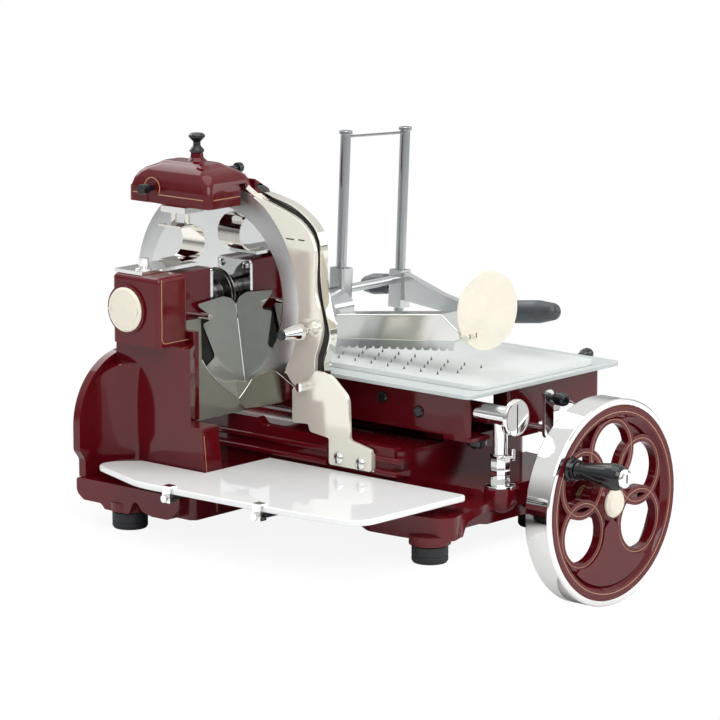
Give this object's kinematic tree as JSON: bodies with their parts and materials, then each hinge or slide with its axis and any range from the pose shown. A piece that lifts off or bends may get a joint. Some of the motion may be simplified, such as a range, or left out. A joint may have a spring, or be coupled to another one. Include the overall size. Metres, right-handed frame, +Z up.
{
  "type": "meat slicer",
  "caption": "Hand-cranked flywheel slicer: round blade driven from a spoked wheel, sliding carriage with spiked meat table and press, sharpener hood, gauge plate and slice tray.",
  "frame": {"origin": "on the counter top that the feet stand on, straight under the centre of the blade", "axes": "+Z up, +X from the slice tray towards the meat, +Y away from the operator along the carriage's travel; the blade's cutting plane is X = 0 and its axis is Y = 0"},
  "size_m": [0.613, 0.771, 0.5935],
  "materials": {
    "red_paint": "deep red gloss enamel",
    "white_enamel": "glossy white enamel",
    "polished_steel": "mirror polished stainless steel",
    "blade_steel": "ground and polished blade steel",
    "chrome": "chrome plate",
    "satin_metal": "satin cast aluminium",
    "machine_steel": "turned machine steel",
    "bronze": "bearing bronze",
    "black_plastic": "black gloss phenolic",
    "cream_metal": "cream lacquered disc",
    "rubber": "black rubber",
    "stone": "bonded abrasive"
  },
  "bodies": {
    "base": {"base_casting": "red_paint", "rubber_feet": "rubber", "carriage_rails": "machine_steel", "column_casting": "red_paint", "bearing_housing": "red_paint", "housing_cover": "cream_metal", "bearing_flange": "chrome", "machine_screws": "chrome", "spindle_bearings": "machine_steel", "drive_bushes": "bronze", "drive_chain": "machine_steel", "sharpener_base": "chrome", "sharpener_bracket": "polished_steel", "gauge_plate": "polished_steel", "support_bracket": "polished_steel", "slice_deflector": "polished_steel", "lower_deflector": "polished_steel", "blade_guard": "polished_steel", "receiving_tray": "white_enamel", "tray_arms": "black_plastic", "tray_clips": "chrome", "regulator_post": "chrome"},
    "flywheel": {"flywheel_rim": "chrome", "flywheel_web": "red_paint", "hub_cap": "cream_metal", "crank_pin": "black_plastic", "flywheel_shaft": "machine_steel", "drive_bevel_gear": "machine_steel", "grip_cap": "chrome"},
    "grip": {"crank_grip": "black_plastic"},
    "cross_drive": {"cross_shaft": "machine_steel", "driven_bevel_gear": "machine_steel", "drive_sprocket": "machine_steel"},
    "blade": {"blade": "blade_steel", "blade_spindle": "machine_steel", "blade_sprocket": "machine_steel"},
    "carriage": {"carriage_body": "red_paint", "table_plate": "satin_metal", "carriage_plugs": "black_plastic", "table_knob": "black_plastic"},
    "roller": {"guide_roller": "black_plastic"},
    "meat_table": {"meat_table": "white_enamel", "table_rack": "machine_steel", "press_posts": "satin_metal"},
    "feed": {"feed_crank": "chrome", "feed_knob": "black_plastic"},
    "press": {"press_frame": "satin_metal", "press_grip": "black_plastic", "press_plate": "polished_steel", "press_comb": "satin_metal", "press_disc": "polished_steel"},
    "sharpener": {"stone_holder": "chrome", "sharpener_cap": "red_paint", "sharpener_knob": "black_plastic"},
    "grinding_stone": {"grinding_stone": "stone"},
    "honing_stone": {"honing_stone": "stone"},
    "grinding_button": {"grinding_button": "black_plastic"},
    "honing_button": {"honing_button": "black_plastic"},
    "regulator_dial": {"regulator_dial": "chrome"},
    "gauge_lock": {"gauge_lock": "chrome"}
  },
  "joints": [
    {"name": "flywheel_spin", "type": "hinge", "parent": "base", "child": "flywheel", "pos_m": [0.184, -0.5, 0.045], "axis": [0, 1, 0], "continuous": true},
    {"name": "grip_spin", "type": "hinge", "parent": "flywheel", "child": "grip", "pos_m": [0.094, -0.58, 0.105], "axis": [0, 1, 0], "continuous": true},
    {"name": "cross_spin", "type": "hinge", "parent": "base", "child": "cross_drive", "pos_m": [0, -0.01, 0.045], "axis": [1, 0, 0], "continuous": true},
    {"name": "blade_spin", "type": "hinge", "parent": "base", "child": "blade", "pos_m": [0, 0, 0.286], "axis": [1, 0, 0], "continuous": true},
    {"name": "carriage_slide", "type": "slide", "parent": "base", "child": "carriage", "axis": [0, 1, 0], "range_m": [0, 0.26]},
    {"name": "roller_spin", "type": "hinge", "parent": "carriage", "child": "roller", "pos_m": [0.064, -0.398, 0.128], "axis": [0, 0, 1], "continuous": true},
    {"name": "table_slide", "type": "slide", "parent": "carriage", "child": "meat_table", "axis": [1, 0, 0], "range_m": [0, 0.04]},
    {"name": "feed_turn", "type": "hinge", "parent": "carriage", "child": "feed", "pos_m": [0.167, -0.41, 0.132], "axis": [0, 1, 0], "range_deg": [-5, 300]},
    {"name": "press_slide", "type": "slide", "parent": "meat_table", "child": "press", "axis": [0.0523, 0, 0.9986], "range_m": [0, 0.16]},
    {"name": "sharpener_lift", "type": "slide", "parent": "base", "child": "sharpener", "axis": [0, 0, 1], "range_m": [0, 0.03]},
    {"name": "grinding_spin", "type": "hinge", "parent": "sharpener", "child": "grinding_stone", "pos_m": [-0.02, 0.016, 0.422], "axis": [1, 0, 0], "continuous": true},
    {"name": "honing_spin", "type": "hinge", "parent": "sharpener", "child": "honing_stone", "pos_m": [0.01, 0.016, 0.426], "axis": [1, 0, 0], "continuous": true},
    {"name": "grinding_press", "type": "slide", "parent": "sharpener", "child": "grinding_button", "axis": [1, 0, 0], "range_m": [0, 0.006], "stiffness_N_per_m": 300},
    {"name": "honing_press", "type": "slide", "parent": "sharpener", "child": "honing_button", "axis": [-1, 0, 0], "range_m": [0, 0.004], "stiffness_N_per_m": 300},
    {"name": "dial_turn", "type": "hinge", "parent": "base", "child": "regulator_dial", "pos_m": [0.061, -0.465, 0.168], "axis": [0, 1, 0], "range_deg": [0, 300]},
    {"name": "lock_turn", "type": "hinge", "parent": "base", "child": "gauge_lock", "pos_m": [0, -0.18, 0.259], "axis": [1, 0, 0], "range_deg": [0, 90]}
  ],
  "couplings": [
    {"joint": "cross_spin", "follows": "flywheel_spin", "ratio": -1},
    {"joint": "blade_spin", "follows": "flywheel_spin", "ratio": -1.5},
    {"joint": "feed_turn", "follows": "table_slide", "rad_per_m": 125}
  ]
}
